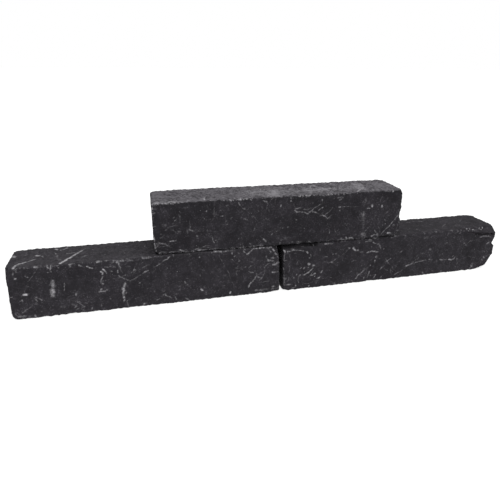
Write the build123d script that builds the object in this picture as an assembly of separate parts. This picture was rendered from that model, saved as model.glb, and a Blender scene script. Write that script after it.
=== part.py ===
"""Dry-laid stack of three tumbled concrete walling blocks.

Two blocks lie end to end on the ground and a third bridges the joint between them. Each block is one
solid casting, written to parts/ as its own STEP file. Lengths are in millimetres and angles in degrees.
+X runs along the row, +Y goes back from the front faces, and +Z is up. The origin is the bottom centre
of the whole stack's bounding box.
"""

from build123d import *
import os

# Driving dimensions: the nominal casting, five times as long as it is wide and high.
BLOCK_LENGTH = 600.0
BLOCK_DEPTH = 120.0
BLOCK_HEIGHT = 120.0
TUMBLED_EDGE = 3.0  # radius that tumbling wears on every edge

# How the blocks lie. Each is set down by hand, so it is a little out of line with the first.
END_GAP = 8.0  # open joint between the two lower blocks
RIGHT_TURN = 0.45  # lower right block, about the vertical
UPPER_START = 309.0  # left end of the upper block, from the row's left end
UPPER_SETBACK = 7.0  # left end of the upper block, back from the row's front
UPPER_TURN = -1.05  # upper block, about the vertical

CUTTER_SIZE = 400.0  # side of the cube that stands for the outer side of a fracture


# ----------------------------------------------------------------------------------------- fractures


def outer_side(through, keep):
    """The space beyond the plane through three points, on the side away from the point keep."""
    first, second, third = (Vector(*point) for point in through)
    normal = (second - first).cross(third - first)
    if (Vector(*keep) - first).dot(normal) > 0:
        normal = -normal
    cube = Box(CUTTER_SIZE, CUTTER_SIZE, CUTTER_SIZE, align=(Align.CENTER, Align.CENTER, Align.MIN))
    return Plane(origin=(first + second + third) / 3, z_dir=normal) * cube


def block_middle():
    """The centre of a block in its own frame."""
    return (BLOCK_LENGTH / 2, BLOCK_DEPTH / 2, BLOCK_HEIGHT / 2)


def corner_break(right, back, top, along, deep, tall):
    """A corner knocked off by one flat fracture.

    right, back and top are 0 or 1 and pick the corner. along, deep and tall are how far the fracture
    reaches from it along the block, across its depth and up or down its height.
    """
    x, y, z = right * BLOCK_LENGTH, back * BLOCK_DEPTH, top * BLOCK_HEIGHT
    inward_x, inward_y, inward_z = 1 - 2 * right, 1 - 2 * back, 1 - 2 * top
    through = [
        (x + inward_x * along, y, z),
        (x, y + inward_y * deep, z),
        (x, y, z + inward_z * tall),
    ]
    return outer_side(through, block_middle())


def edge_spall(x, back, top, reach, bite):
    """A shell-shaped flake lost from one of the four long edges.

    x is its middle along the block, reach is half its length on the edge, and bite is its depth there,
    measured at 45 degrees into the block.
    """
    radius = (reach**2 + bite**2) / (2 * bite)
    outward = Vector(0, 2 * back - 1, 2 * top - 1).normalized()
    edge = Vector(x, back * BLOCK_DEPTH, top * BLOCK_HEIGHT)
    return Pos(edge + outward * (radius - bite)) * Sphere(radius)


def end_spall(right, back, z, reach, bite):
    """The same flake on one of the four upright edges, with its middle at height z."""
    radius = (reach**2 + bite**2) / (2 * bite)
    outward = Vector(2 * right - 1, 2 * back - 1, 0).normalized()
    edge = Vector(right * BLOCK_LENGTH, back * BLOCK_DEPTH, z)
    return Pos(edge + outward * (radius - bite)) * Sphere(radius)


def tumbled_block(fractures):
    """One casting with worn edges, less the given fractures."""
    block = Box(BLOCK_LENGTH, BLOCK_DEPTH, BLOCK_HEIGHT, align=(Align.MIN, Align.MIN, Align.MIN))
    block = fillet(block.edges(), TUMBLED_EDGE)
    for fracture in fractures:
        block = block - fracture
    return block


# -------------------------------------------------------------------------------------------- blocks


def lower_left_block():
    """The left block of the lower course."""
    return tumbled_block(
        [
            corner_break(0, 0, 1, along=16, deep=18, tall=31),
            corner_break(0, 0, 0, along=11, deep=12, tall=10),
            corner_break(1, 0, 1, along=27, deep=18, tall=25),
            corner_break(1, 0, 1, along=5, deep=60, tall=70),
            corner_break(1, 0, 0, along=62, deep=7, tall=6),
            corner_break(0, 1, 1, along=9, deep=10, tall=7),
            corner_break(0, 1, 0, along=30, deep=15, tall=18),
            corner_break(1, 1, 1, along=22, deep=14, tall=12),
            edge_spall(122, 0, 0, reach=16, bite=4.5),
            edge_spall(262, 0, 1, reach=26, bite=5.0),
            edge_spall(410, 0, 1, reach=15, bite=4.2),
            edge_spall(505, 1, 1, reach=24, bite=5.5),
            edge_spall(470, 1, 0, reach=30, bite=6.0),
            end_spall(0, 0, 74, reach=15, bite=4.6),
            end_spall(1, 1, 55, reach=18, bite=5.0),
        ]
    )


def front_left_flake():
    """The long flake off the top front edge, where the lower right block meets its neighbour.

    It is deepest at the end face, gets shallower along the edge, and then stops short at a steep step.
    """
    top, depth_at_end, depth_at_step, step = BLOCK_HEIGHT, 17.0, 9.0, 76.0
    bed = [(0, 0, top - depth_at_end), (step, 0, top - depth_at_step), (0, 34, top)]
    stop = [(step, 0, top - depth_at_step), (step + 26, 0, top), (step + 4, 26, top)]
    return outer_side(bed, block_middle()) & outer_side(stop, block_middle())


def end_notch():
    """The V-shaped nick in the upright edge at the lower right block's free end."""
    right, tip = BLOCK_LENGTH, (BLOCK_LENGTH - 10.0, 0, 71)
    behind = (right, 26, 80)
    upper = outer_side([(right, 0, 96), tip, behind], (right - 40, 0, 110))
    lower = outer_side([(right, 0, 64), tip, behind], (right - 40, 0, 30))
    return upper & lower


def end_crack():
    """The crack under the broken top corner, which runs down towards the free end."""
    length, fall, width, depth, height = 94.0, 7.0, 5.5, 9.0, 99.0
    profile = Polyline((-2, -width / 2), (depth, 0), (-2, width / 2), close=True)
    groove = extrude(Plane.YZ.offset(-length) * make_face(profile), length + 10)
    return Pos(BLOCK_LENGTH, 0, height) * Rot(0, fall, 0) * groove


def lower_right_block():
    """The right block of the lower course, the most battered of the three."""
    return tumbled_block(
        [
            front_left_flake(),
            end_notch(),
            end_crack(),
            corner_break(1, 0, 1, along=150, deep=22, tall=20),
            corner_break(1, 0, 0, along=26, deep=64, tall=45),
            corner_break(1, 0, 0, along=54, deep=44, tall=17),
            corner_break(0, 0, 0, along=16, deep=14, tall=11),
            corner_break(0, 1, 0, along=14, deep=16, tall=13),
            corner_break(1, 1, 1, along=20, deep=15, tall=9),
            corner_break(1, 1, 0, along=16, deep=24, tall=20),
            edge_spall(232, 0, 0, reach=14, bite=4.2),
            edge_spall(350, 0, 1, reach=20, bite=4.4),
            edge_spall(150, 1, 1, reach=26, bite=6.0),
            edge_spall(430, 1, 0, reach=22, bite=5.0),
            end_spall(1, 1, 84, reach=20, bite=5.5),
        ]
    )


def upper_block():
    """The block that bridges the joint, the least worn of the three."""
    return tumbled_block(
        [
            corner_break(0, 0, 0, along=13, deep=12, tall=13),
            corner_break(1, 0, 0, along=15, deep=13, tall=20),
            corner_break(1, 0, 1, along=10, deep=15, tall=9),
            corner_break(0, 0, 1, along=9, deep=9, tall=7),
            corner_break(1, 1, 1, along=17, deep=15, tall=10),
            corner_break(0, 1, 1, along=12, deep=18, tall=11),
            edge_spall(566, 0, 0, reach=26, bite=6.0),
            edge_spall(352, 0, 0, reach=18, bite=4.6),
            edge_spall(395, 0, 1, reach=16, bite=4.4),
            edge_spall(330, 1, 0, reach=30, bite=6.0),
            edge_spall(120, 1, 0, reach=24, bite=5.5),
            end_spall(1, 0, 57, reach=13, bite=4.6),
            end_spall(0, 1, 48, reach=20, bite=5.0),
        ]
    )


# --------------------------------------------------------------------------------------------- stack


def laid_stack():
    """The three blocks where they lie, moved so that the origin is the stack's bottom centre."""
    right_place = Location((BLOCK_LENGTH + END_GAP, 0, 0), (0, 0, RIGHT_TURN))
    upper_place = Location((UPPER_START, UPPER_SETBACK, BLOCK_HEIGHT), (0, 0, UPPER_TURN))
    blocks = {
        "lower_left_block": lower_left_block(),
        "lower_right_block": right_place * lower_right_block(),
        "upper_block": upper_place * upper_block(),
    }
    box = Compound(children=[block.solid() for block in blocks.values()]).bounding_box()
    to_origin = Pos(-box.center().X, -box.center().Y, -box.min.Z)
    return {name: to_origin * block.solid() for name, block in blocks.items()}


os.makedirs("parts", exist_ok=True)
for node, solid in laid_stack().items():
    export_step(solid, f"parts/{node}.step")
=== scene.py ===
"""The looks of a dry-laid stack of three tumbled black concrete walling blocks.

Each block is a casting that has been rolled in a drum with others until its edges are worn, its corners
are broken and its faces carry pale scuffs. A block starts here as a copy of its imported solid. It gets an
even skin, displacement modifiers roughen that skin, and a pigmented-concrete finish dresses it. The frame
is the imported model's: metres, +X along the row, +Y back and +Z up. A name that ends in _mm is in
millimetres, and so are places on a block, which count from its front left bottom corner.
"""

from __future__ import annotations

import logging
import math
import random
from collections.abc import Sequence
from dataclasses import dataclass, field, replace
from enum import Enum
from functools import cached_property, partial

import bpy
import numpy as np
from mathutils import Matrix, Vector

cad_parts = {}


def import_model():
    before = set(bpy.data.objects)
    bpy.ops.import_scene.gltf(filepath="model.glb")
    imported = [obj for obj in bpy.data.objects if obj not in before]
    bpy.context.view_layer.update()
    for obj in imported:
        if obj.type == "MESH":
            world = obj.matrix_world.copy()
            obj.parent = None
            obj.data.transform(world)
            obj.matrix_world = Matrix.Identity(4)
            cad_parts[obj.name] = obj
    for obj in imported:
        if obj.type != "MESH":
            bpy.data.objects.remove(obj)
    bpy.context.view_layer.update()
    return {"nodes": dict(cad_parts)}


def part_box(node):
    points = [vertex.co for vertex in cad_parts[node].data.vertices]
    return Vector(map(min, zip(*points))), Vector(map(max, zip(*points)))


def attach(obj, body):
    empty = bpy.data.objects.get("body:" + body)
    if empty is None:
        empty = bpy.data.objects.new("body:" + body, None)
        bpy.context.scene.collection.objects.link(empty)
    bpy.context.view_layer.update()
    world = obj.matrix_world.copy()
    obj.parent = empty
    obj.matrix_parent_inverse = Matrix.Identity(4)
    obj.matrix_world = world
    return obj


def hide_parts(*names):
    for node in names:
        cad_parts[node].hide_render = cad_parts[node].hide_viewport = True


LOG = logging.getLogger("walling_blocks")
MM = 0.001
SQUARE_DECIMETRE = 1e4  # in square millimetres

Point = tuple[float, float]
Colour = tuple[float, float, float]
Run = tuple[np.ndarray, np.ndarray, float]  # its start, its end and how strongly it presses
WHITE: Colour = (1.0, 1.0, 1.0)


class Face(Enum):
    """A face of a block: the axis it looks along, and 1 if it is at that axis's far end."""

    FRONT = (1, 0)
    BACK = (1, 1)
    TOP = (2, 1)
    BED = (2, 0)
    LEFT_END = (0, 0)
    RIGHT_END = (0, 1)

    @property
    def axis(self) -> int:
        """The axis the face looks along: 0 is along the block, 1 across it and 2 up it."""
        return self.value[0]

    @property
    def far(self) -> int:
        """1 if the face is at the far end of its axis, and 0 if it is at the near end."""
        return self.value[1]

    @property
    def flat_axes(self) -> list[int]:
        """The two axes that lie in the face, in order."""
        return [axis for axis in range(3) if axis != self.axis]


@dataclass(frozen=True)
class Scuff:
    """A pale mark that another block left on a face.

    Attributes:
        face: The face that it lies on.
        path: Its points in millimetres, on the two axes that lie in the face. One point makes a knock.
        width: Its width in millimetres.
        strength: How much of it is whitened, from 0 to 1.
        bow: How far its middle stands to the left of a straight line, in millimetres.
    """

    face: Face
    path: tuple[Point, ...]
    width: float
    strength: float
    bow: float = 0.0

    STEP_MM = 4.5
    WANDER_MM = 0.6
    FADING = 0.35  # how much weaker it ends than it starts
    PRESSURE = (0.72, 1.0)
    KNOCK_RUNS = 3
    KNOCK_SPREAD = 0.14  # of the width
    KNOCK_PRESSURE = (0.7, 1.0)
    NO_LENGTH = 1e-6

    def runs(self, draw: random.Random) -> list[Run]:
        """The short runs that the mark skips along, as one hard edge chatters over another.

        Args:
            draw: Fixes how it wanders and where it presses.

        Returns:
            The start, end and strength of each run, in millimetres.
        """
        points = self._stations()
        return self._chatter(points, draw) if len(points) > 1 else self._knock(points[0], draw)

    def _stations(self) -> list[np.ndarray]:
        """Evenly spaced points on the path, or on the arc that bow makes of it."""
        corners = [np.array(point, float) for point in self.path]
        stations = corners[:1]
        for start, end in zip(corners, corners[1:]):
            steps = max(1, round(float(np.hypot(*(end - start))) / self.STEP_MM))
            for step in range(1, steps + 1):
                share = step / steps
                # 4 * share * (1 - share) is 0 at both ends and 1 halfway.
                lean = self._normal(start, end) * self.bow * 4 * share * (1 - share)
                stations.append(start + (end - start) * share + lean)
        return stations

    def _normal(self, start: np.ndarray, end: np.ndarray) -> np.ndarray:
        """The unit vector to the left of the way from start to end."""
        run = end - start
        return np.array([-run[1], run[0]]) / max(float(np.hypot(*run)), self.NO_LENGTH)

    @staticmethod
    def _astray(draw: random.Random) -> np.ndarray:
        """A random step, about one unit long."""
        return np.array([draw.gauss(0, 1), draw.gauss(0, 1)])

    def _chatter(self, points: list[np.ndarray], draw: random.Random) -> list[Run]:
        """Runs between neighbouring points that wander a little and press unevenly."""
        loose = [point + self._astray(draw) * self.WANDER_MM for point in points]
        runs = []
        for index, (start, end) in enumerate(zip(loose, loose[1:])):
            fading = 1.0 - self.FADING * index / len(loose)
            runs.append((start, end, self.strength * fading * draw.uniform(*self.PRESSURE)))
        return runs

    def _knock(self, middle: np.ndarray, draw: random.Random) -> list[Run]:
        """A few short runs through one spot."""
        runs = []
        for _ in range(self.KNOCK_RUNS):
            spread = self._astray(draw) * self.width * self.KNOCK_SPREAD
            strength = self.strength * draw.uniform(*self.KNOCK_PRESSURE)
            runs.append((middle - spread, middle + spread, strength))
        return runs


# ------------------------------------------------------------------------------------ shader arithmetic


class Field:
    """A value that varies over a surface: a shader socket whose arithmetic adds Math nodes."""

    def __init__(self, graph: ShaderGraph, socket: bpy.types.NodeSocket) -> None:
        """Wrap a socket of a node that is in the graph."""
        self.graph = graph
        self.socket = socket

    def _math(self, operation: str, *operands: Field | float, clamp: bool = False) -> Field:
        """One Math node on the given operands, in order."""
        settings = {"operation": operation, "use_clamp": clamp}
        return self.graph.add("ShaderNodeMath", settings, dict(enumerate(operands))).output(0)

    def __add__(self, other: Field | float) -> Field:
        """self + other."""
        return self._math("ADD", self, other)

    def __radd__(self, other: float) -> Field:
        """other + self."""
        return self._math("ADD", other, self)

    def __sub__(self, other: Field | float) -> Field:
        """self - other."""
        return self._math("SUBTRACT", self, other)

    def __rsub__(self, other: float) -> Field:
        """other - self."""
        return self._math("SUBTRACT", other, self)

    def __mul__(self, other: Field | float) -> Field:
        """self * other."""
        return self._math("MULTIPLY", self, other)

    def __rmul__(self, other: float) -> Field:
        """other * self."""
        return self._math("MULTIPLY", other, self)

    def clamped(self) -> Field:
        """The value held between 0 and 1."""
        return self._math("ADD", self, 0.0, clamp=True)

    def larger(self, other: Field | float) -> Field:
        """The larger of the two values."""
        return self._math("MAXIMUM", self, other)

    def rise(self, low: float, high: float) -> Field:
        """A smooth step: 0 below low, 1 above high. With low above high it falls instead."""
        settings = {"interpolation_type": "SMOOTHSTEP"}
        bounds = {"Value": self, "From Min": min(low, high), "From Max": max(low, high)}
        rising = self.graph.add("ShaderNodeMapRange", settings, bounds).output(0)
        return rising if low < high else 1 - rising


@dataclass
class PlacedNode:
    """A node in a graph, with its outputs at hand."""

    graph: ShaderGraph
    node: bpy.types.Node

    def output(self, key: int | str) -> Field:
        """One of the node's outputs, by index or name."""
        return Field(self.graph, self.node.outputs[key])


class ShaderGraph:
    """The node tree of a material or a world, with the few patterns that concrete needs."""

    MIX_FACTOR, MIX_FIRST, MIX_SECOND, MIX_COLOUR_OUT = 0, 6, 7, 2

    def __init__(self, owner: bpy.types.Material | bpy.types.World) -> None:
        """Start with none of the owner's nodes."""
        owner.use_nodes = True
        self.tree = owner.node_tree
        self.tree.nodes.clear()

    @cached_property
    def position(self) -> Field:
        """The place on the piece, in its own metres."""
        return self.add("ShaderNodeTexCoord").output("Object")

    def add(
        self, kind: str, settings: dict[str, object] | None = None, inputs: dict | None = None
    ) -> PlacedNode:
        """Add any node.

        Args:
            kind: The node's type.
            settings: Its properties, which are set first.
            inputs: What goes into its sockets, by index or name: a value, a colour or a Field.

        Returns:
            The node.
        """
        node = self.tree.nodes.new(kind)
        for name, value in (settings or {}).items():
            setattr(node, name, value)
        for key, value in (inputs or {}).items():
            if isinstance(value, Field):
                self.tree.links.new(value.socket, node.inputs[key])
            elif isinstance(value, tuple) and len(value) == 3 and node.inputs[key].type == "RGBA":
                node.inputs[key].default_value = (*value, 1.0)
            else:
                node.inputs[key].default_value = value
        return PlacedNode(self, node)

    def noise(self, size_mm: float, seed: float, detail: float = 2.0, roughness: float = 0.5) -> Field:
        """Soft noise from 0 to 1, about 0.5.

        Args:
            size_mm: The size of its largest lumps.
            seed: Any number, to tell one noise from another.
            detail: How many finer layers it has.
            roughness: How strong the finer layers are.

        Returns:
            The noise.
        """
        inputs = {
            "Vector": self.position,
            "W": seed,
            "Scale": 1.0 / (size_mm * MM),
            "Detail": detail,
            "Roughness": roughness,
        }
        return self.add("ShaderNodeTexNoise", {"noise_dimensions": "4D"}, inputs).output(0)

    def cells(self, size_mm: float, seed: float) -> Field:
        """The distance from the middle of the nearest of many cells of about one size, in cell sizes."""
        inputs = {"Vector": self.position, "W": seed, "Scale": 1.0 / (size_mm * MM)}
        return self.add("ShaderNodeTexVoronoi", {"voronoi_dimensions": "4D"}, inputs).output("Distance")

    def painted(self, attribute: str) -> Field:
        """A value that a block's skin carries at every vertex."""
        return self.add("ShaderNodeAttribute", {"attribute_name": attribute}).output("Fac")

    def facing(self, axis: int) -> Field:
        """How much the surface looks along a frame axis, from -1 to 1."""
        normal = self.add("ShaderNodeTexCoord").output("Normal")
        return self.add("ShaderNodeSeparateXYZ", {}, {0: normal}).output(axis)

    def mix(self, mask: Field | float, first: Field | Colour, second: Field | Colour) -> Field:
        """A colour that is first where the mask is 0 and second where it is 1."""
        inputs = {self.MIX_FACTOR: mask, self.MIX_FIRST: first, self.MIX_SECOND: second}
        return self.add("ShaderNodeMix", {"data_type": "RGBA"}, inputs).output(self.MIX_COLOUR_OUT)

    def bumped(self, height: Field, depth_mm: float) -> Field:
        """The surface normal, tilted by a height from 0 to 1 that stands for a depth."""
        inputs = {"Height": height, "Distance": depth_mm * MM, "Strength": 1.0}
        return self.add("ShaderNodeBump", {}, inputs).output(0)

    def finish(self, colour: Field, roughness: Field, normal: Field, gloss: float) -> None:
        """Close the graph with one surface shader.

        Args:
            colour: The base colour.
            roughness: The roughness.
            normal: The shading normal.
            gloss: The specular level, the same all over.
        """
        inputs = {
            "Base Color": colour,
            "Roughness": roughness,
            "Normal": normal,
            "Specular IOR Level": gloss,
        }
        surface = self.add("ShaderNodeBsdfPrincipled", {}, inputs).output(0)
        self.add("ShaderNodeOutputMaterial", {}, {"Surface": surface})


@dataclass(frozen=True)
class TumbledConcrete:
    """Black pigmented concrete after tumbling: dark paste, sand, dust and painted light on the tops, pale
    edges and scuffs.

    Attributes:
        paste: The pigmented cement paste.
        sand: Fine aggregate that shows through it.
        dust_and_top_light: Dry dust that settles on what looks up; it also paints the tops lighter, as
            painted top light.
        thick_dust_and_top_light: The same dust and painted top light where the dust drifts.
        chalk: Rubbed, whitened concrete.
        shade_and_darkening_colour: Near-black paint for painted shade in cracks and under the block above,
            and for patches painted darker.
        dusting_and_top_light: How much of the top the dust and painted top light cover, from 0 to 1.
        edge_wear: How far the edges are rubbed pale, from 0 to 1.
        seed: Tells one block's patterns from another's.
    """

    paste: Colour = (0.0178, 0.0164, 0.0193)
    sand: Colour = (0.080, 0.075, 0.085)
    dust_and_top_light: Colour = (0.096, 0.091, 0.100)
    thick_dust_and_top_light: Colour = (0.178, 0.172, 0.184)
    chalk: Colour = (0.40, 0.390, 0.408)
    shade_and_darkening_colour: Colour = (0.0045, 0.0042, 0.0048)
    dusting_and_top_light: float = 0.2
    edge_wear: float = 0.8
    seed: float = 0.0

    GLOSS = 0.12
    ROUGHNESS, ROUGHER_GRAIN = 0.88, 0.16
    BUMP_MM = 0.9
    WORN_PASTE, THICK_PASTE = 1.20, 0.70  # how bright, against the paste
    SAND_COVER = 0.62
    # Dust and painted top light: how strongly it follows the speckle, and the least of it.
    DUST_COVER, LEAST_DUST = 1.05, 0.25
    DUST_RUBBED_OFF = 0.6
    WORN_COVER, FLECK_COVER = 0.75, 0.30

    # The sizes of the patterns, in millimetres.
    GRAIN, GRIT, BLOTCH, CLOUD = 2.0, 4.5, 17.0, 85.0
    DUST_BLOTCH, DUST_PATCH, DUST_RIM = 9.0, 55.0, 7.0
    WEAR_PATCH, FLECK = 45.0, 12.0

    # Where each pattern sets in, and where it is complete.
    WORN_THIN, SAND_SHOWS = (0.36, 0.66), (0.54, 0.70)
    LOOKS_UP, SPECKLED, DRIFTED = (0.45, 0.95), (0.46, 0.64), (0.15, 0.70)
    SKIPPING, SCUFFED, GRIMY = (0.36, 0.64), (0.15, 1.00), (0.1, 0.7)
    PATCHY, WORN, FLECKED = (0.40, 0.66), (0.22, 0.90), (0.13, 0.05)

    def material(self, name: str) -> bpy.types.Material:
        """Build the finish.

        Args:
            name: The material's name.

        Returns:
            The material.
        """
        material = bpy.data.materials.new(name)
        graph = ShaderGraph(material)
        grain = graph.noise(self.GRAIN, self.seed, detail=2.0, roughness=0.7)
        grit = graph.noise(self.GRIT, self.seed + 1, detail=3.0, roughness=0.75)
        colour = self._paste_and_sand(graph, grain, grit)
        # Dust on what looks up, which also stands in for the light on the tops: painted top light.
        colour = self._dusted_and_top_lit(graph, colour, grit)
        # Painted shade: near-black where shade falls in cracks and under the block above, and patches
        # painted darker.
        colour = graph.mix(graph.painted("grime").rise(*self.GRIMY), colour, self.shade_and_darkening_colour)
        colour = graph.mix(self._rubbed(graph, grain, grit), colour, self.chalk)
        roughness = (grain * self.ROUGHER_GRAIN + self.ROUGHNESS).clamped()
        height = grain * 0.6 + grit * 0.4
        graph.finish(colour, roughness, graph.bumped(height, self.BUMP_MM), self.GLOSS)
        return material

    def _paste_and_sand(self, graph: ShaderGraph, grain: Field, grit: Field) -> Field:
        """The dark ground: cloudy paste, with sand grains that show where it is worn thin."""
        clouds = graph.noise(self.CLOUD, self.seed + 2, detail=3.0)
        blotches = graph.noise(self.BLOTCH, self.seed + 3, detail=4.0, roughness=0.65)
        worn_thin = (clouds * 0.35 + blotches * 0.65).rise(*self.WORN_THIN)
        darker = tuple(self.THICK_PASTE * channel for channel in self.paste)
        lighter = tuple(self.WORN_PASTE * channel for channel in self.paste)
        paste = graph.mix(worn_thin, darker, lighter)
        sand = (grain * 0.5 + grit * 0.5 + worn_thin * 0.05).rise(*self.SAND_SHOWS)
        return graph.mix(sand * self.SAND_COVER, paste, self.sand)

    def _dusted_and_top_lit(self, graph: ShaderGraph, colour: Field, grit: Field) -> Field:
        """The ground under the dust that lies on what looks up; the dust also paints the tops lighter, as
        painted top light.
        """
        patches = graph.noise(self.DUST_PATCH, self.seed + 4, detail=4.0, roughness=0.6)
        ragged = graph.noise(self.DUST_RIM, self.seed + 5) - 0.5
        looks_up = (graph.facing(Face.TOP.axis) + ragged * 0.5).rise(*self.LOOKS_UP)
        blotches = graph.noise(self.DUST_BLOTCH, self.seed + 8, detail=3.0, roughness=0.7)
        speckled = (patches * 0.2 + blotches * 0.5 + grit * 0.4).rise(*self.SPECKLED)
        speckled = speckled * self.DUST_COVER + self.LEAST_DUST
        cover = looks_up * speckled * (1 - graph.painted("wear") * self.DUST_RUBBED_OFF)
        dusted_and_top_lit = graph.mix(cover * self.dusting_and_top_light, colour, self.dust_and_top_light)
        thick = graph.painted("drift") * 0.7 + (blotches + grit - 0.9) * self.dusting_and_top_light
        return graph.mix(looks_up * thick.rise(*self.DRIFTED), dusted_and_top_lit, self.thick_dust_and_top_light)

    def _rubbed(self, graph: ShaderGraph, grain: Field, grit: Field) -> Field:
        """How much of each spot is whitened, by scuffs, by wear along the edges and by chance flecks."""
        skipping = (grain * 0.4 + grit * 0.6).rise(*self.SKIPPING)
        scuffed = (graph.painted("scuff") * (skipping * 0.60 + 0.64)).rise(*self.SCUFFED)
        patchy = graph.noise(self.WEAR_PATCH, self.seed + 6, detail=3.0, roughness=0.6).rise(*self.PATCHY)
        wear = graph.painted("wear") * self.edge_wear
        worn = (wear * (patchy * 0.70 + 0.30) * (skipping + 0.20)).rise(*self.WORN)
        flecks = graph.cells(self.FLECK, self.seed + 7).rise(*self.FLECKED)
        return scuffed.larger(worn * self.WORN_COVER).larger(flecks * self.FLECK_COVER)


# ----------------------------------------------------------------------------------------------- blocks


@dataclass(frozen=True)
class Roughening:
    """One displacement that eats into a block's skin.

    Attributes:
        name: What it makes.
        size_mm: The size of its largest lumps.
        depth_mm: How deep it can go.
        layers: How many finer layers of noise it has.
        where: The vertex weight that limits it, or nothing for the whole skin.
        contrast: How hard its noise is, with 1 for soft.
        share: How much of the skin it reaches: 1 is all of it, and less leaves the high ground alone.
    """

    name: str
    size_mm: float
    depth_mm: float
    layers: int = 2
    where: str = ""
    contrast: float = 1.0
    share: float = 1.0

    BASIS = "ORIGINAL_PERLIN"

    def apply(self, piece: bpy.types.Object) -> None:
        """Displace the piece inwards, for good."""
        texture = bpy.data.textures.new(f"{piece.name}_{self.name}", "CLOUDS")
        texture.noise_scale = self.size_mm * MM
        texture.noise_basis = self.BASIS
        texture.noise_depth = self.layers
        texture.contrast = self.contrast
        texture.intensity = self.share
        displace = piece.modifiers.new(self.name, "DISPLACE")
        displace.texture = texture
        displace.texture_coords = "LOCAL"
        displace.direction = "NORMAL"
        displace.mid_level = 0.0
        displace.strength = -self.depth_mm * MM
        displace.vertex_group = self.where
        bpy.ops.object.modifier_apply(modifier=displace.name)


TUMBLING = (
    Roughening("uneven_casting", size_mm=80.0, depth_mm=0.5),
    Roughening("worn_edges", size_mm=26.0, depth_mm=1.3, where="edge", contrast=2.8, share=0.55),
    Roughening("crumbled_edges", size_mm=8.0, depth_mm=1.8, where="edge", contrast=3.4, share=0.58),
    Roughening("broken_face", size_mm=14.0, depth_mm=2.2, where="broken", layers=3),
    Roughening("coarse_grain", size_mm=5.0, depth_mm=0.5),
)


@dataclass
class Skin:
    """The even skin of a block, read in the block's own millimetres.

    Attributes:
        piece: The block's mesh object.
        place: What takes a point from the block's own metres to the frame's.
        size: The block's length, depth and height in millimetres.
        points: The vertices' places.
    """

    piece: bpy.types.Object
    place: Matrix
    size: np.ndarray
    points: np.ndarray = field(init=False)

    SCUFF_DEPTH_MM = 9.0  # how far in from a face its scuffs still mark
    SOFT_RIM_MM = 1.0  # how far a scuff fades out past its width
    NO_LENGTH_SQUARED = 1e-9

    def __post_init__(self) -> None:
        """Read where the vertices are."""
        self._read()

    def _read(self) -> None:
        """Take the vertices' places from the mesh."""
        flat = np.empty(len(self.piece.data.vertices) * 3, np.float32)
        self.piece.data.vertices.foreach_get("co", flat)
        to_block = np.array(self.place.inverted())
        self.points = (flat.reshape(-1, 3) @ to_block[:3, :3].T + to_block[:3, 3]) / MM

    def _insides(self) -> np.ndarray:
        """How far each vertex is inside the nearest face of each axis, the least first."""
        return np.sort(np.minimum(self.points, self.size - self.points), axis=1)

    def nearness_to_edge(self, reach_mm: float) -> np.ndarray:
        """1 on an edge of the block, falling to 0 at reach_mm from it."""
        return np.clip(1.0 - self._insides()[:, 1] / reach_mm, 0.0, 1.0)

    def brokenness(self, shallow_mm: float, deep_mm: float) -> np.ndarray:
        """0 on an original face, rising to 1 where a fracture has gone deep_mm below it."""
        depth = self._insides()[:, 0]
        return np.clip((depth - shallow_mm) / (deep_mm - shallow_mm), 0.0, 1.0)

    def scuffed(self, scuffs: Sequence[Scuff], seed: int) -> np.ndarray:
        """How strongly the scuffs mark each vertex.

        Args:
            scuffs: The scuffs.
            seed: Fixes how they wander.

        Returns:
            A value from 0 to 1 for every vertex.
        """
        draw = random.Random(seed)
        marked = np.zeros(len(self.points))
        for face in Face:
            depth = self.points[:, face.axis]
            if face.far:
                depth = self.size[face.axis] - depth
            on_face = np.flatnonzero(depth < self.SCUFF_DEPTH_MM)
            flat = self.points[on_face][:, face.flat_axes]
            marks = np.zeros(len(flat))
            for scuff in (s for s in scuffs if s.face is face):
                for run in scuff.runs(draw):
                    self._rub(marks, flat, run, scuff.width / 2 + self.SOFT_RIM_MM)
            marked[on_face] = np.maximum(marked[on_face], marks)
        return marked

    def _rub(self, marks: np.ndarray, flat: np.ndarray, run: Run, reach: float) -> None:
        """Whiten the points of a face that are within reach of one run of a scuff."""
        start, end, strength = run
        near = np.all(np.abs(flat - (start + end) / 2) < np.abs(end - start) / 2 + reach, axis=1)
        near = np.flatnonzero(near)
        along = end - start
        offset = flat[near] - start
        share = np.clip(offset @ along / max(float(along @ along), self.NO_LENGTH_SQUARED), 0.0, 1.0)
        distance = np.hypot(*(offset - share[:, None] * along).T)
        marks[near] = np.maximum(marks[near], strength * np.clip(1.0 - distance / reach, 0.0, 1.0))

    def press_flat(self) -> None:
        """Move what stands outside the casting's box back onto its faces."""
        self._read()
        pressed = np.clip(self.points, 0.0, self.size)
        to_frame = np.array(self.place)
        flat = pressed * MM @ to_frame[:3, :3].T + to_frame[:3, 3]
        self.piece.data.vertices.foreach_set("co", flat.astype(np.float32).ravel())
        self.piece.data.update()

    def paint(self, name: str, values: np.ndarray) -> None:
        """Keep a value at every vertex, for the finish to read."""
        layer = self.piece.data.attributes.new(name, "FLOAT", "POINT")
        layer.data.foreach_set("value", values.astype(np.float32))

    def limit(self, name: str, values: np.ndarray) -> None:
        """Keep a weight at every vertex, for a modifier to read."""
        group = self.piece.vertex_groups.new(name=name)
        for index in np.flatnonzero(values > 0.0):
            group.add([int(index)], float(values[index]), "REPLACE")


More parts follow.
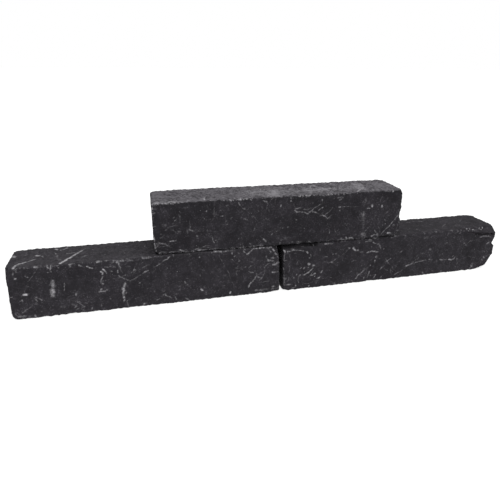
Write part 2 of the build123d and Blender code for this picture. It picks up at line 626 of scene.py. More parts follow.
@dataclass(frozen=True)
class ChanceScuffs:
    """The scuffs that nobody placed, strewn over every face.

    Attributes:
        bundles: How many bundles of strokes a square decimetre has.
        knocks: How many short knocks a square decimetre has.
        smudges: How many broad faint smudges a square decimetre has.
        hairlines: How many long thin scratches a square decimetre has.
    """

    bundles: float = 6.0
    knocks: float = 7.0
    smudges: float = 2.0
    hairlines: float = 6.0

    FAINTER = 0.74  # on a face that has placed scuffs
    CROWDING = 0.75  # below 1, more of them lie near a face's long edges

    # Ranges of lengths and widths in millimetres, and of strengths.
    KNOCK_LENGTH, KNOCK_WIDTH = (0.5, 5.0), (3.0, 5.0)
    SMUDGE_LENGTH, SMUDGE_WIDTH, SMUDGE_STRENGTH = (4.0, 26.0), (9.0, 20.0), (0.28, 0.44)
    HAIRLINE_LENGTH, HAIRLINE_WIDTH, HAIRLINE_STRENGTH = (14.0, 60.0), 2.6, (0.44, 0.66)
    STROKE_WIDTH, STROKE_SHARE = (3.0, 4.4), (0.6, 1.0)

    STROKE_CHOICES = (1, 1, 1, 2, 2, 3, 4)  # how many strokes a bundle has
    BUNDLE_MM = 9.0
    USUAL_STROKE_MM, STROKE_SPREAD, LONGEST_STROKE_MM = 15.0, 0.6, 70.0
    ASKEW = 0.16  # how far the strokes of a bundle fan out, in radians
    STROKE_BOW, HAIRLINE_BOW = 0.07, 0.06  # of the length
    FAINTEST, STROKE_RANGE, KNOCK_RANGE = 0.34, 0.46, 0.5

    def scatter(self, size: np.ndarray, seed: int, dressed: set[Face]) -> list[Scuff]:
        """Strew scuffs over a block.

        Args:
            size: The block's length, depth and height in millimetres.
            seed: Fixes the draw.
            dressed: The faces with scuffs placed on them, where chance adds only faint ones.

        Returns:
            The scuffs.
        """
        draw = random.Random(seed)
        scuffs: list[Scuff] = []
        for face in Face:
            width, height = (float(size[axis]) for axis in face.flat_axes)
            area = width * height / SQUARE_DECIMETRE
            for _ in range(round(area * self.bundles)):
                scuffs += self._bundle(face, self._spot(width, height, draw), draw)
            for _ in range(round(area * self.knocks)):
                scuffs.append(self._knock(face, self._spot(width, height, draw), draw))
            for _ in range(round(area * self.smudges)):
                scuffs.append(self._smudge(face, self._spot(width, height, draw), draw))
            for _ in range(round(area * self.hairlines)):
                scuffs.append(self._hairline(face, self._spot(width, height, draw), draw))
        return [replace(s, strength=s.strength * self.FAINTER) if s.face in dressed else s for s in scuffs]

    def _spot(self, width: float, height: float, draw: random.Random) -> Point:
        """A place on a face, nearer to its long edges more often than not."""
        return draw.uniform(0.0, width), draw.betavariate(self.CROWDING, self.CROWDING) * height

    @staticmethod
    def _away(start: Point, length: float, angle: float) -> Point:
        """The point at a distance and an angle from start."""
        return start[0] + length * math.cos(angle), start[1] + length * math.sin(angle)

    def _bundle(self, face: Face, middle: Point, draw: random.Random) -> list[Scuff]:
        """A few strokes that one knock left, roughly side by side."""
        angle = draw.uniform(0.0, math.pi)
        strength = self.FAINTEST + self.STROKE_RANGE * draw.random() ** 2
        strokes = []
        for _ in range(draw.choice(self.STROKE_CHOICES)):
            length = draw.lognormvariate(math.log(self.USUAL_STROKE_MM), self.STROKE_SPREAD)
            length = min(length, self.LONGEST_STROKE_MM)
            start = self._away(middle, draw.uniform(0.0, self.BUNDLE_MM), draw.uniform(0.0, 2 * math.pi))
            path = (start, self._away(start, length, angle + draw.gauss(0.0, self.ASKEW)))
            bow = draw.uniform(-self.STROKE_BOW, self.STROKE_BOW) * length
            width = draw.uniform(*self.STROKE_WIDTH)
            strokes.append(Scuff(face, path, width, strength * draw.uniform(*self.STROKE_SHARE), bow))
        return strokes

    def _knock(self, face: Face, start: Point, draw: random.Random) -> Scuff:
        """One short knock."""
        end = self._away(start, draw.uniform(*self.KNOCK_LENGTH), draw.uniform(0.0, math.pi))
        width = draw.uniform(*self.KNOCK_WIDTH)
        return Scuff(face, (start, end), width, self.FAINTEST + self.KNOCK_RANGE * draw.random() ** 3)

    def _smudge(self, face: Face, start: Point, draw: random.Random) -> Scuff:
        """One broad faint smudge."""
        end = self._away(start, draw.uniform(*self.SMUDGE_LENGTH), draw.uniform(0.0, math.pi))
        width = draw.uniform(*self.SMUDGE_WIDTH)
        return Scuff(face, (start, end), width, draw.uniform(*self.SMUDGE_STRENGTH))

    def _hairline(self, face: Face, start: Point, draw: random.Random) -> Scuff:
        """One long thin scratch."""
        length = draw.uniform(*self.HAIRLINE_LENGTH)
        end = self._away(start, length, draw.uniform(0.0, math.pi))
        strength = draw.uniform(*self.HAIRLINE_STRENGTH)
        bow = draw.uniform(-self.HAIRLINE_BOW, self.HAIRLINE_BOW) * length
        return Scuff(face, (start, end), self.HAIRLINE_WIDTH, strength, bow)


@dataclass
class WallingBlock:
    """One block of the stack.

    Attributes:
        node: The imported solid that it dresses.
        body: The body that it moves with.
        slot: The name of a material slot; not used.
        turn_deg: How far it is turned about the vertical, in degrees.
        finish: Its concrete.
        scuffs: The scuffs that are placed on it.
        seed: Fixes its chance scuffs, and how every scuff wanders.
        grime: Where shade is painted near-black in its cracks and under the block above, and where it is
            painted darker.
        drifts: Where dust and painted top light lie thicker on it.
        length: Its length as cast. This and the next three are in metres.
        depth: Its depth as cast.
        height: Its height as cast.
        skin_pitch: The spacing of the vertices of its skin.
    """

    node: str
    body: str
    slot: str
    turn_deg: float
    finish: TumbledConcrete
    scuffs: tuple[Scuff, ...]
    seed: int
    grime: tuple[Scuff, ...] = ()
    drifts: tuple[Scuff, ...] = ()
    length: float = 0.600
    depth: float = 0.120
    height: float = 0.120
    skin_pitch: float = 0.0019

    WELD_MM = 0.01
    RUBBED_SMOOTH = 0.5
    CRUMBLING_MM, CRUMBLING_FALLOFF = 15.0, 1.6  # how far from an edge it crumbles
    BROKEN_MM = (1.9, 4.0)  # how deep a fracture starts and is complete
    WEAR_MM, WORN_FRACTURE = 8.0, 0.35  # how far from an edge it wears pale, and how pale a fracture is

    def place(self) -> Matrix:
        """What takes a point from the block's own metres to the frame's."""
        low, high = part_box(self.node)
        middle = Matrix.Translation((low + high) / 2)
        turn = Matrix.Rotation(math.radians(self.turn_deg), 4, "Z")
        return middle @ turn @ Matrix.Translation(Vector((self.length, self.depth, self.height)) / -2)

    def build(self, nodes: dict[str, bpy.types.Object]) -> bpy.types.Object:
        """Make the block and hand it to the frame.

        Args:
            nodes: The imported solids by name.

        Returns:
            The finished piece.
        """
        piece = self._copy_of(nodes[self.node])
        self._lay_skin(piece)
        size = np.array([self.length, self.depth, self.height]) / MM
        skin = Skin(piece, self.place(), size)
        broken = skin.brokenness(*self.BROKEN_MM)
        skin.limit("edge", skin.nearness_to_edge(self.CRUMBLING_MM) ** self.CRUMBLING_FALLOFF)
        skin.limit("broken", broken)
        for roughening in TUMBLING:
            roughening.apply(piece)
        skin.press_flat()
        chance = ChanceScuffs().scatter(size, self.seed, {scuff.face for scuff in self.scuffs})
        skin.paint("scuff", skin.scuffed([*self.scuffs, *chance], self.seed))
        # Painted shade in cracks and under the block above, and patches painted darker.
        skin.paint("grime", skin.scuffed(self.grime, self.seed))
        skin.paint("drift", skin.scuffed(self.drifts, self.seed))
        skin.paint("wear", np.maximum(skin.nearness_to_edge(self.WEAR_MM), self.WORN_FRACTURE * broken))
        piece.vertex_groups.clear()
        bpy.ops.object.shade_smooth()
        piece.data.materials.append(self.finish.material(f"{piece.name}_concrete"))
        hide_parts(self.node)
        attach(piece, self.body)
        LOG.info("%s: %d faces", piece.name, len(piece.data.polygons))
        return piece

    def _copy_of(self, solid: bpy.types.Object) -> bpy.types.Object:
        """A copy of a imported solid, selected alone, with its loose triangles joined up."""
        bpy.ops.object.select_all(action="DESELECT")
        piece = bpy.data.objects.new(f"{self.body}_casting", solid.data.copy())
        bpy.context.scene.collection.objects.link(piece)
        piece.data.materials.clear()
        piece.select_set(True)
        bpy.context.view_layer.objects.active = piece
        bpy.ops.object.mode_set(mode="EDIT")
        bpy.ops.mesh.select_all(action="SELECT")
        bpy.ops.mesh.remove_doubles(threshold=self.WELD_MM * MM)
        bpy.ops.mesh.normals_make_consistent(inside=False)
        bpy.ops.object.mode_set(mode="OBJECT")
        bpy.ops.mesh.customdata_custom_splitnormals_clear()
        return piece

    def _lay_skin(self, piece: bpy.types.Object) -> None:
        """Give the piece an even skin of small square faces, and take the sharpness off it."""
        remesh = piece.modifiers.new("even_skin", "REMESH")
        remesh.mode = "VOXEL"
        remesh.voxel_size = self.skin_pitch
        remesh.use_smooth_shade = True
        bpy.ops.object.modifier_apply(modifier=remesh.name)
        smooth = piece.modifiers.new("rubbed_smooth", "SMOOTH")
        smooth.factor = self.RUBBED_SMOOTH
        bpy.ops.object.modifier_apply(modifier=smooth.name)


# --------------------------------------------------------------------------------------- placed scuffs


def alike(
    face: Face, width: float, strength: float, *paths: tuple[Point, ...] | Point
) -> tuple[Scuff, ...]:
    """Scuffs that differ only in where they run.

    Args:
        face: The face that they lie on.
        width: Their width in millimetres.
        strength: How much of each is whitened.
        *paths: The points of each in millimetres, or the one point of a knock.

    Returns:
        The scuffs.
    """
    whole = (path if isinstance(path[0], tuple) else (path,) for path in paths)
    return tuple(Scuff(face, path, width, strength) for path in whole)


# alike() for each of the two faces that have placed scuffs.
front, top = partial(alike, Face.FRONT), partial(alike, Face.TOP)

# The scuffs that stand out on the lower left block.
LOWER_LEFT_SCUFFS: tuple[Scuff, ...] = (
    # Bold strokes near the left end of the top, and knocks behind them.
    *top(10.0, 1.0, ((111, 12), (124, 35), (149, 80))),
    *top(9.0, 0.85, ((18, 3), (20, 21), (27, 28), (45, 39), (54, 48))),
    *top(13.0, 0.95, ((55, 72), (60, 67)), ((6, 81), (9, 73))),
    *top(10.0, 0.95, ((91, 106), (93, 100))),
    *top(7.0, 0.55, ((67, 66), (70, 54)), ((94, 76), (100, 55)), ((102, 97), (103, 91))),
    *top(8.0, 0.62, ((116, 108), (109, 96)), ((117, 69), (135, 70)), ((153, 39), (162, 46))),
    *top(6.0, 0.44, ((99, 54), (105, 30), (111, 15)), ((150, 81), (162, 105)), (252, 45)),
    *top(5.5, 0.6, ((183, 4), (196, 3)), ((202, 5), (210, 4)), ((24, 2), (34, 6)), ((128, 2), (140, 3))),
    # Rubbed stretches of the top front edge.
    *front(5.5, 0.58, ((60, 119), (73, 118)), ((84, 120), (87, 113)), ((281, 119), (288, 118), (300, 119))),
    *front(6.5, 0.68, ((184, 120), (194, 119)), ((226, 115), (233, 117), (241, 116))),
    *front(5.0, 0.55, ((442, 119), (458, 118), (485, 118)), ((247, 120), (252, 116), (260, 114))),
    *front(5.0, 0.5, ((217, 113), (222, 116)), (350, 119), (388, 116), (40, 119), (10, 118)),
    *front(4.6, 0.7, ((92, 118), (91, 106)), (17, 108), (20, 97)),
    *front(4.4, 0.45, (107, 114), (44, 98), (40, 101), (85, 105), (63, 88)),
    # Left half of the front.
    *front(7.5, 0.95, ((31, 58), (36, 60))),
    *front(5.0, 0.7, ((26, 46), (26, 43)), ((134, 51), (135, 44)), ((62, 44), (65, 43))),
    *front(4.4, 0.6, ((50, 50), (54, 41)), ((54, 50), (64, 43)), ((136, 30), (142, 24), (147, 17))),
    *front(3.6, 0.58, ((21, 16), (34, 25), (46, 33)), ((114, 76), (111, 60))),
    *front(17.0, 0.66, ((92, 84), (90, 70)), ((89, 63), (87, 50))),
    *front(9.0, 0.58, ((13, 8), (30, 9)), ((145, 18), (149, 16))),
    *front(12.0, 0.4, ((124, 25), (130, 21)), (103, 21), (145, 8), (52, 36)),
    *front(4.4, 0.5, ((7, 17), (11, 10)), ((80, 24), (77, 19)), ((184, 11), (186, 22)), (164, 10)),
    *front(4.2, 0.42, (115, 40), (134, 58), (63, 36), (81, 7), ((55, 20), (62, 14))),
    *front(4.8, 0.9, ((163, 111), (176, 105)), ((190, 97), (196, 94), (194, 90))),
    *front(5.0, 0.85, ((195, 101), (201, 96))),
    *front(4.4, 0.62, ((147, 117), (156, 112)), ((194, 84), (190, 77), (189, 69)), (193, 67)),
    *front(6.0, 0.62, ((183, 48), (196, 49)), (188, 54), (200, 51)),
    # The patch under the edge, the long strokes and the vertical rub, right of the middle.
    *front(7.0, 0.7, ((231, 113), (231, 105))),
    *front(4.4, 0.6, ((231, 105), (234, 98), (235, 88)), ((226, 95), (228, 90)), ((203, 106), (212, 105))),
    *front(4.2, 0.52, ((217, 104), (224, 104)), ((212, 95), (217, 95)), (205, 29)),
    *front(3.8, 0.62, ((228, 84), (232, 78), (240, 73), (250, 67), (263, 73), (275, 79), (283, 85))),
    *front(5.0, 0.72, ((283, 85), (292, 89)), ((327, 108), (342, 116))),
    *front(4.0, 0.56, ((278, 96), (295, 103)), ((260, 91), (268, 94)), ((304, 94), (315, 100), (327, 108))),
    *front(9.5, 0.72, ((239, 61), (236, 53)), ((235, 50), (234, 36))),
    *front(6.0, 0.6, (234, 29), (234, 21), (240, 39), (271, 60)),
    *front(4.6, 0.55, ((239, 18), (242, 6)), ((306, 12), (314, 17)), ((346, 15), (352, 8))),
    *front(4.4, 0.66, ((326, 24), (330, 19), (339, 16)), ((371, 51), (377, 44)), ((373, 9), (378, 6))),
    *front(4.0, 0.45, ((257, 22), (282, 28)), ((353, 53), (365, 54)), ((355, 40), (361, 43))),
    *front(4.0, 0.42, ((357, 33), (361, 36)), ((285, 44), (296, 46)), (384, 35), ((300, 40), (304, 34))),
    *front(6.0, 0.75, (277, 7), ((477, 13), (477, 10))),
    *front(5.0, 0.52, (408, 109), (407, 64), ((417, 34), (417, 31))),
    *front(7.0, 0.85, ((408, 30), (412, 26))),
    # The scratched right end.
    *front(3.2, 0.52, ((452, 109), (462, 89), (467, 80)), ((471, 71), (480, 44), (485, 29), (487, 19))),
    *front(4.6, 0.6, ((485, 114), (482, 109)), ((487, 103), (491, 105)), ((510, 116), (517, 108))),
    *front(4.6, 0.68, ((519, 106), (525, 111), (533, 118))),
    *front(4.2, 0.48, ((483, 96), (491, 88)), ((498, 96), (501, 92), (496, 90)), ((495, 66), (500, 65))),
    *front(4.2, 0.48, ((498, 80), (492, 73), (507, 72), (517, 75)), ((523, 71), (528, 74), (534, 77))),
    *front(5.2, 0.58, ((523, 62), (533, 57)), ((544, 46), (551, 43), (553, 40), (548, 37))),
    *front(5.6, 0.74, ((522, 21), (523, 26), (531, 35), (537, 41), (541, 48))),
    *front(3.4, 0.48, ((553, 40), (558, 46), (562, 59), (561, 69)), ((561, 69), (568, 75), (578, 79))),
    *front(9.0, 0.5, ((540, 11), (555, 10), (575, 12)), ((580, 9), (598, 11)), ((580, 17), (588, 16))),
    *front(6.5, 0.62, ((570, 87), (580, 83), (585, 80)), ((582, 112), (585, 108)), (582, 91)),
    *front(9.5, 0.75, ((583, 72), (593, 76))),
    *front(5.2, 0.6, ((587, 104), (592, 99), (593, 93)), ((580, 53), (595, 53)), ((568, 118), (577, 106))),
    *front(4.0, 0.36, ((440, 101), (443, 96)), ((429, 80), (433, 75)), ((445, 77), (448, 72)), (423, 92)),
    *front(4.0, 0.36, ((415, 78), (421, 84)), ((431, 96), (436, 90)), ((408, 90), (413, 83)), (452, 74)),
)

# The scuffs that stand out on the lower right block.
LOWER_RIGHT_SCUFFS: tuple[Scuff, ...] = (
    # Under the long flake at the left end.
    *front(4.4, 0.6, ((11, 103), (25, 105), (36, 105), (44, 102), (55, 100), (61, 97))),
    *front(8.0, 0.78, ((3, 107), (4, 104))),
    *front(3.4, 0.5, ((3, 99), (2, 70)), ((2, 62), (3, 38)), ((3, 30), (3, 13))),
    *front(6.0, 0.95, ((21, 110), (23, 110))),
    *front(5.5, 0.7, ((48, 112), (52, 112)), (89, 119), ((60, 99), (62, 96))),
    *front(4.6, 0.48, ((28, 98), (38, 92)), ((69, 90), (71, 86)), ((77, 112), (80, 115)), (67, 82)),
    *front(5.0, 0.38, ((15, 96), (17, 82)), ((16, 66), (17, 46)), (1, 93), (1, 73), (14, 29)),
    *front(9.0, 0.68, (66, 66), ((76, 61), (80, 61))),
    *front(5.5, 0.72, ((54, 39), (67, 45), (77, 53)), ((90, 24), (96, 28)), ((98, 40), (102, 44))),
    *front(5.0, 0.62, ((70, 35), (77, 35)), ((80, 38), (83, 40)), (53, 56), (35, 41), (44, 39)),
    *front(4.6, 0.5, ((41, 36), (39, 24), (41, 18)), (28, 34), (45, 57), ((93, 105), (93, 97))),
    *front(6.5, 0.55, (13, 16), (18, 17), (33, 11), (68, 7), ((23, 6), (30, 7))),
    *front(3.4, 0.42, ((50, 13), (67, 13), (80, 16), (100, 22), (120, 28)), ((103, 68), (117, 65))),
    *front(4.8, 0.58, ((108, 81), (113, 80)), ((117, 63), (124, 65), (128, 62), (133, 63))),
    *front(4.6, 0.46, ((127, 87), (128, 84)), ((134, 87), (137, 88)), (87, 13), (64, 57)),
    *front(6.5, 0.55, ((106, 115), (127, 114)), ((146, 116), (151, 116))),
    # Below the upper block's right end.
    *front(8.0, 0.8, ((181, 96), (187, 91), (194, 89))),
    *front(4.8, 0.52, ((168, 99), (174, 98)), (183, 100), ((195, 107), (198, 109))),
    *front(4.6, 0.56, ((214, 111), (230, 110)), ((220, 113), (227, 117), (231, 113))),
    *front(4.6, 0.56, ((232, 119), (250, 118))),
    *front(4.8, 0.62, ((235, 108), (243, 103), (250, 101)), ((250, 101), (254, 97), (258, 89))),
    *front(6.2, 0.72, ((219, 81), (225, 82)), ((238, 82), (250, 81)), ((228, 83), (236, 83))),
    *front(5.4, 0.52, ((201, 84), (208, 84)), ((246, 70), (246, 65)), ((244, 58), (244, 49)), (266, 87)),
    *front(4.4, 0.66, ((193, 12), (200, 22), (210, 28), (220, 38), (227, 43))),
    *front(4.4, 0.62, ((231, 28), (229, 20), (226, 13)), ((217, 15), (216, 7))),
    *front(4.4, 0.62, ((245, 8), (250, 18)), (233, 45)),
    *front(5.4, 0.55, (266, 9), ((282, 115), (290, 117)), ((293, 119), (300, 119)), (380, 118)),
    # A faint arrowhead, then the long stroke low on the right half.
    *front(4.4, 0.54, ((272, 50), (279, 53), (288, 58)), ((312, 73), (320, 76)), ((262, 32), (273, 42))),
    *front(4.0, 0.5, ((273, 60), (281, 48), (291, 38), (303, 24), (314, 8))),
    *front(4.0, 0.5, ((290, 30), (292, 20), (297, 11))),
    *front(6.2, 0.66, ((336, 33), (347, 36), (356, 39))),
    *front(4.8, 0.64, ((362, 39), (377, 42), (392, 43)), ((433, 41), (453, 39))),
    *front(4.6, 0.5, ((400, 44), (413, 43)), ((475, 38), (489, 48)), ((487, 38), (490, 26), (488, 12))),
    *front(7.0, 0.66, ((463, 39), (470, 36), (474, 38)), ((386, 9), (388, 7))),
    *front(3.8, 0.5, ((500, 86), (515, 71)), ((523, 43), (530, 40)), ((538, 37), (545, 34))),
    *front(16.0, 0.36, ((446, 85), (452, 92)), ((538, 18), (555, 19)), (403, 72)),
    *front(4.2, 0.36, ((467, 99), (483, 106)), ((463, 78), (471, 71)), ((419, 10), (420, 8))),
    # The broken right end.
    *front(4.8, 0.62, ((550, 95), (566, 96), (583, 93))),
    *front(6.5, 0.58, ((573, 73), (585, 78)), ((567, 27), (570, 25)), (573, 34), (537, 12)),
    *front(5.5, 0.5, ((412, 120), (416, 119)), ((458, 120), (463, 119)), (479, 117)),
    *front(5.0, 0.62, (510, 119), ((528, 114), (533, 114)), (539, 115)),
    *top(4.0, 0.72, (548, 3), ((561, 12), (564, 14)), (556, 8)),
    *top(3.6, 0.58, (534, 7), (541, 1), (524, 2), (552, 12), (513, 4), (519, 8)),
    *top(6.0, 0.48, ((381, 92), (408, 96)), ((456, 39), (477, 54)), (417, 6), (463, 6)),
    *top(5.0, 0.4, ((531, 69), (552, 90)), ((508, 60), (513, 66)), ((538, 48), (544, 54)), (582, 84)),
)

# Painted shade on the lower right block: in the crack at its free end, and in the flake by the joint under
# the upper block.
LOWER_RIGHT_SHADE_AND_DARKENING: tuple[Scuff, ...] = (
    *front(7.0, 1.0, ((536, 104), (558, 101), (596, 98))),
    *front(4.0, 0.6, ((556, 90), (590, 87))),
    *front(13.0, 0.9, ((0, 117), (80, 121))),
    *top(22.0, 0.9, ((0, 8), (80, 4))),
    # The free end is painted darker all over.
    *front(150.0, 0.32, ((450, 60), (620, 60))),
)

# The scuffs that stand out on the upper block.
UPPER_SCUFFS: tuple[Scuff, ...] = (
    # The crossed strokes right of the middle.
    *front(4.2, 0.68, ((325, 84), (331, 81), (338, 80)), ((341, 79), (348, 79), (355, 75), (361, 79))),
    *front(3.8, 0.55, ((347, 86), (355, 84), (365, 76)), ((355, 84), (363, 88)), ((327, 88), (344, 92))),
    *front(4.0, 0.66, ((363, 79), (373, 87), (390, 97)), ((383, 81), (388, 85), (395, 88))),
    *front(4.8, 0.66, ((368, 78), (377, 76), (385, 72)), ((388, 69), (398, 67), (408, 59), (416, 67))),
    *front(4.8, 0.5, (418, 85), (437, 77), ((391, 107), (394, 95)), (329, 62), (443, 109)),
    *front(6.0, 0.75, ((435, 86), (437, 86)), ((546, 83), (547, 79)), ((571, 118), (573, 118))),
    *front(7.0, 0.9, ((519, 86), (521, 81))),
    *front(5.6, 0.55, ((509, 77), (515, 78)), ((430, 109), (439, 109)), ((434, 103), (438, 105))),
    *front(4.6, 0.46, (533, 102), (560, 101), (432, 117), (447, 116), ((442, 86), (486, 85))),
    # The left end.
    *front(4.4, 0.7, ((36, 31), (49, 31))),
    *front(5.0, 0.44, ((22, 28), (35, 18), (45, 11)), ((10, 29), (19, 28)), ((5, 26), (12, 25))),
    *front(4.0, 0.48, ((26, 57), (35, 64), (45, 66), (52, 68)), ((44, 72), (57, 88))),
    *front(5.0, 0.42, ((43, 59), (50, 51), (62, 51)), ((61, 101), (62, 97)), ((60, 92), (60, 70))),
    *front(5.5, 0.5, ((75, 55), (75, 50)), ((82, 54), (91, 49)), (4, 11), (96, 39)),
    *front(6.0, 0.7, ((1, 43), (1, 34)), ((2, 24), (3, 18))),
    *front(3.8, 0.44, ((111, 83), (115, 77), (123, 75), (145, 78)), ((119, 52), (119, 44), (127, 43))),
    *front(4.4, 0.56, ((150, 81), (160, 82)), (166, 62), (119, 96)),
    *front(4.0, 0.36, ((127, 43), (135, 44), (135, 52)), ((98, 50), (108, 50)), ((126, 36), (130, 38))),
    # Along the bottom edge.
    *front(5.0, 0.54, ((10, 6), (27, 7)), ((33, 5), (57, 5)), ((82, 3), (89, 7), (100, 9), (123, 15))),
    *front(6.0, 0.62, ((57, 8), (69, 4)), ((97, 5), (120, 4)), ((249, 19), (257, 13))),
    *front(4.6, 0.46, ((123, 5), (157, 3)), ((224, 5), (250, 4))),
    *front(4.6, 0.46, ((242, 28), (248, 20)), ((285, 28), (290, 23))),
    *front(5.0, 0.52, ((217, 12), (221, 6)), (336, 7), (313, 5), (320, 7), (342, 5), (293, 14)),
    *front(5.6, 0.66, (363, 4), (458, 7), ((467, 6), (474, 6)), ((524, 6), (529, 9))),
    # The middle, with a hatch of faint strokes.
    *front(5.4, 0.5, ((192, 111), (198, 101)), ((200, 99), (210, 93)), ((205, 73), (213, 69)), (221, 116)),
    *front(5.4, 0.55, ((250, 114), (261, 106)), (315, 115), (315, 108), ((292, 100), (291, 97))),
    *front(4.0, 0.36, ((247, 98), (262, 80)), ((254, 72), (268, 58))),
    *front(4.0, 0.36, ((216, 86), (224, 74)), ((221, 42), (229, 41))),
    *front(4.0, 0.36, ((236, 92), (246, 80)), ((268, 104), (282, 90)), (257, 46), (277, 36), (305, 16)),
    # The worn right end.
    *front(3.6, 0.62, ((593, 56), (580, 41), (567, 26), (550, 11))),
    *front(3.4, 0.44, ((593, 43), (595, 33), (592, 19), (582, 9)), ((555, 46), (566, 44))),
    *front(4.8, 0.56, ((532, 19), (538, 13), (543, 9)), ((531, 10), (541, 8)), ((574, 11), (580, 7))),
    *front(6.5, 0.85, ((568, 11), (572, 11))),
    *front(4.2, 0.38, ((540, 33), (544, 25)), ((551, 36), (552, 27)), ((528, 58), (548, 60))),
    *front(26.0, 0.4, ((503, 102), (500, 88)), ((498, 66), (503, 20)), (503, 12)),
    # The top.
    *top(8.0, 0.5, ((57, 74), (65, 61), (81, 55))),
    *top(6.0, 0.8, ((116, 10), (119, 30)), ((384, 69), (389, 82)), ((447, 96), (453, 108)), (24, 20)),
    *top(5.0, 0.5, ((126, 45), (121, 33)), (90, 80), ((112, 80), (116, 96)), (240, 55), (397, 30)),
    *top(6.0, 0.75, (80, 59), (271, 77), (430, 54), (440, 52), (524, 15), (413, 57)),
    *top(5.5, 0.6, ((258, 70), (263, 82)), ((238, 96), (246, 96)), (501, 78), (507, 58), (585, 54)),
    *top(6.0, 0.75, ((483, 9), (492, 21), (510, 39))),
    *top(5.5, 0.62, ((128, 3), (138, 4)), ((183, 10), (193, 9)), (220, 10), ((283, 6), (289, 8))),
    *top(5.0, 0.5, ((372, 4), (376, 5)), (411, 8), ((12, 5), (16, 4)), (46, 9), (345, 6)),
)

# The places where dust and painted top light lie thicker on the upper block's top.
UPPER_DRIFTS: tuple[Scuff, ...] = (
    *top(60.0, 0.9, ((278, 20), (288, 55)), ((372, 42), (428, 48)), ((500, 40), (512, 85))),
    *top(34.0, 0.7, ((228, 50), (262, 62)), ((392, 88), (404, 70)), ((452, 30), (470, 44))),
    *top(120.0, 0.42, ((240, 48), (545, 54))),
    *top(24.0, 0.85, ((8, 8), (78, 8))),
)


# --------------------------------------------------------------------------------------------------- studio


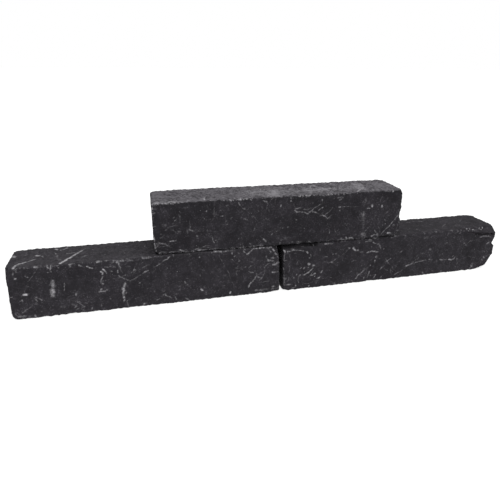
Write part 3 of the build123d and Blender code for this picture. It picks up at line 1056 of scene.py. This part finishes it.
@dataclass
class Studio:
    """A plain pale floor, soft light and the camera.

    Attributes:
        floor_size: The side of the floor, in metres.
        floor_colour: The floor's paint.
        floor_glow: How strongly it is lit from within.
        floor_glow_share: How much of its light comes from within.
        skylight: The strength of the light from all round.
        overhead: The strength of the soft lamp above.
        overhead_angle_deg: How wide that lamp looks from the stack, in degrees.
    """

    floor_size: float = 60.0
    floor_colour: Colour = (0.86, 0.86, 0.86)
    floor_glow: float = 1.4
    floor_glow_share: float = 0.6
    skylight: float = 0.55
    overhead: float = 3.2
    overhead_angle_deg: float = 70.0

    OVERHEAD_PLACE = (0.0, 0.0, 3.0)
    OVERHEAD_TILT_DEG = (34.0, 6.0, 0.0)
    CAMERA_PLACE = Vector((-0.3205, -1.1223, 0.5307))
    CAMERA_PITCH_DEG = 20.84  # down
    CAMERA_YAW_DEG = 15.33  # to the right
    CAMERA_ROLL_DEG = 0.54  # anticlockwise
    LENS_MM, SENSOR_MM = 35.85, 36.0
    SHIFT_X = -0.04

    def build(self) -> None:
        """Set up the floor, the light and the camera."""
        self._floor()
        self._light()
        self._camera()
        bpy.context.scene.view_settings.view_transform = "Standard"

    def _floor(self) -> None:
        """A matt floor under the stack, lit a little from within, so that shadows on it stay faint."""
        bpy.ops.object.select_all(action="DESELECT")
        bpy.ops.mesh.primitive_plane_add(size=self.floor_size)
        floor = bpy.context.object
        floor.name = "studio_floor"
        material = bpy.data.materials.new("studio_floor_paint")
        graph = ShaderGraph(material)
        paint = graph.add("ShaderNodeBsdfDiffuse", {}, {"Color": self.floor_colour}).output(0)
        glow = {"Color": self.floor_colour, "Strength": self.floor_glow}
        glow = graph.add("ShaderNodeEmission", {}, glow).output(0)
        inputs = {0: self.floor_glow_share, 1: paint, 2: glow}
        mixed = graph.add("ShaderNodeMixShader", {}, inputs).output(0)
        graph.add("ShaderNodeOutputMaterial", {}, {"Surface": mixed})
        floor.data.materials.append(material)

    def _light(self) -> None:
        """Even light from all round, and a broad soft lamp from above."""
        world = bpy.data.worlds.new("studio_world")
        graph = ShaderGraph(world)
        unseen, seen = (
            graph.add("ShaderNodeBackground", {}, {"Color": WHITE, "Strength": strength}).output(0)
            for strength in (self.skylight, 1.0)
        )
        seen_straight = graph.add("ShaderNodeLightPath").output("Is Camera Ray")
        mixed = graph.add("ShaderNodeMixShader", {}, {0: seen_straight, 1: unseen, 2: seen}).output(0)
        graph.add("ShaderNodeOutputWorld", {}, {"Surface": mixed})
        bpy.context.scene.world = world
        bpy.ops.object.light_add(type="SUN", location=self.OVERHEAD_PLACE)
        lamp = bpy.context.object
        lamp.name = "overhead_lamp"
        lamp.rotation_euler = [math.radians(angle) for angle in self.OVERHEAD_TILT_DEG]
        lamp.data.energy = self.overhead
        lamp.data.angle = math.radians(self.overhead_angle_deg)

    def _camera(self) -> None:
        """A camera half a metre above the floor, to the left of the middle of the row."""
        pitch, yaw, roll = (
            math.radians(angle)
            for angle in (self.CAMERA_PITCH_DEG, self.CAMERA_YAW_DEG, self.CAMERA_ROLL_DEG)
        )
        bpy.ops.object.camera_add(location=self.CAMERA_PLACE)
        camera = bpy.context.object
        camera.name = "studio_camera"
        turn = Matrix.Rotation(-yaw, 4, "Z") @ Matrix.Rotation(math.pi / 2 - pitch, 4, "X")
        camera.rotation_euler = (turn @ Matrix.Rotation(roll, 4, "Z")).to_euler()
        camera.data.lens = self.LENS_MM
        camera.data.sensor_width = self.SENSOR_MM
        camera.data.shift_x = self.SHIFT_X
        bpy.context.scene.camera = camera


def main() -> None:
    """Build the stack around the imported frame."""
    logging.basicConfig(level=logging.INFO, format="%(name)s: %(message)s")
    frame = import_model()
    blocks = (
        WallingBlock(
            node="lower_left_block",
            body="lower_left",
            slot="lower_left_concrete",
            turn_deg=0.0,
            finish=TumbledConcrete(dusting_and_top_light=0.19, edge_wear=0.75, seed=3.0),
            scuffs=LOWER_LEFT_SCUFFS,
            seed=11,
        ),
        WallingBlock(
            node="lower_right_block",
            body="lower_right",
            slot="lower_right_concrete",
            turn_deg=0.45,
            finish=TumbledConcrete(paste=(0.0164, 0.0151, 0.0178), dusting_and_top_light=0.10, edge_wear=0.55, seed=23.0),
            scuffs=LOWER_RIGHT_SCUFFS,
            seed=12,
            grime=LOWER_RIGHT_SHADE_AND_DARKENING,
        ),
        WallingBlock(
            node="upper_block",
            body="upper",
            slot="upper_concrete",
            turn_deg=-1.05,
            # Its heavy dust also paints its top lighter: dust, and painted top light and sheen.
            finish=TumbledConcrete(paste=(0.0150, 0.0138, 0.0163), dusting_and_top_light=0.92, edge_wear=0.9, seed=41.0),
            scuffs=UPPER_SCUFFS,
            seed=13,
            drifts=UPPER_DRIFTS,
        ),
    )
    for block in blocks:
        block.build(frame["nodes"])
    Studio().build()


if __name__ == "__main__":
    main()
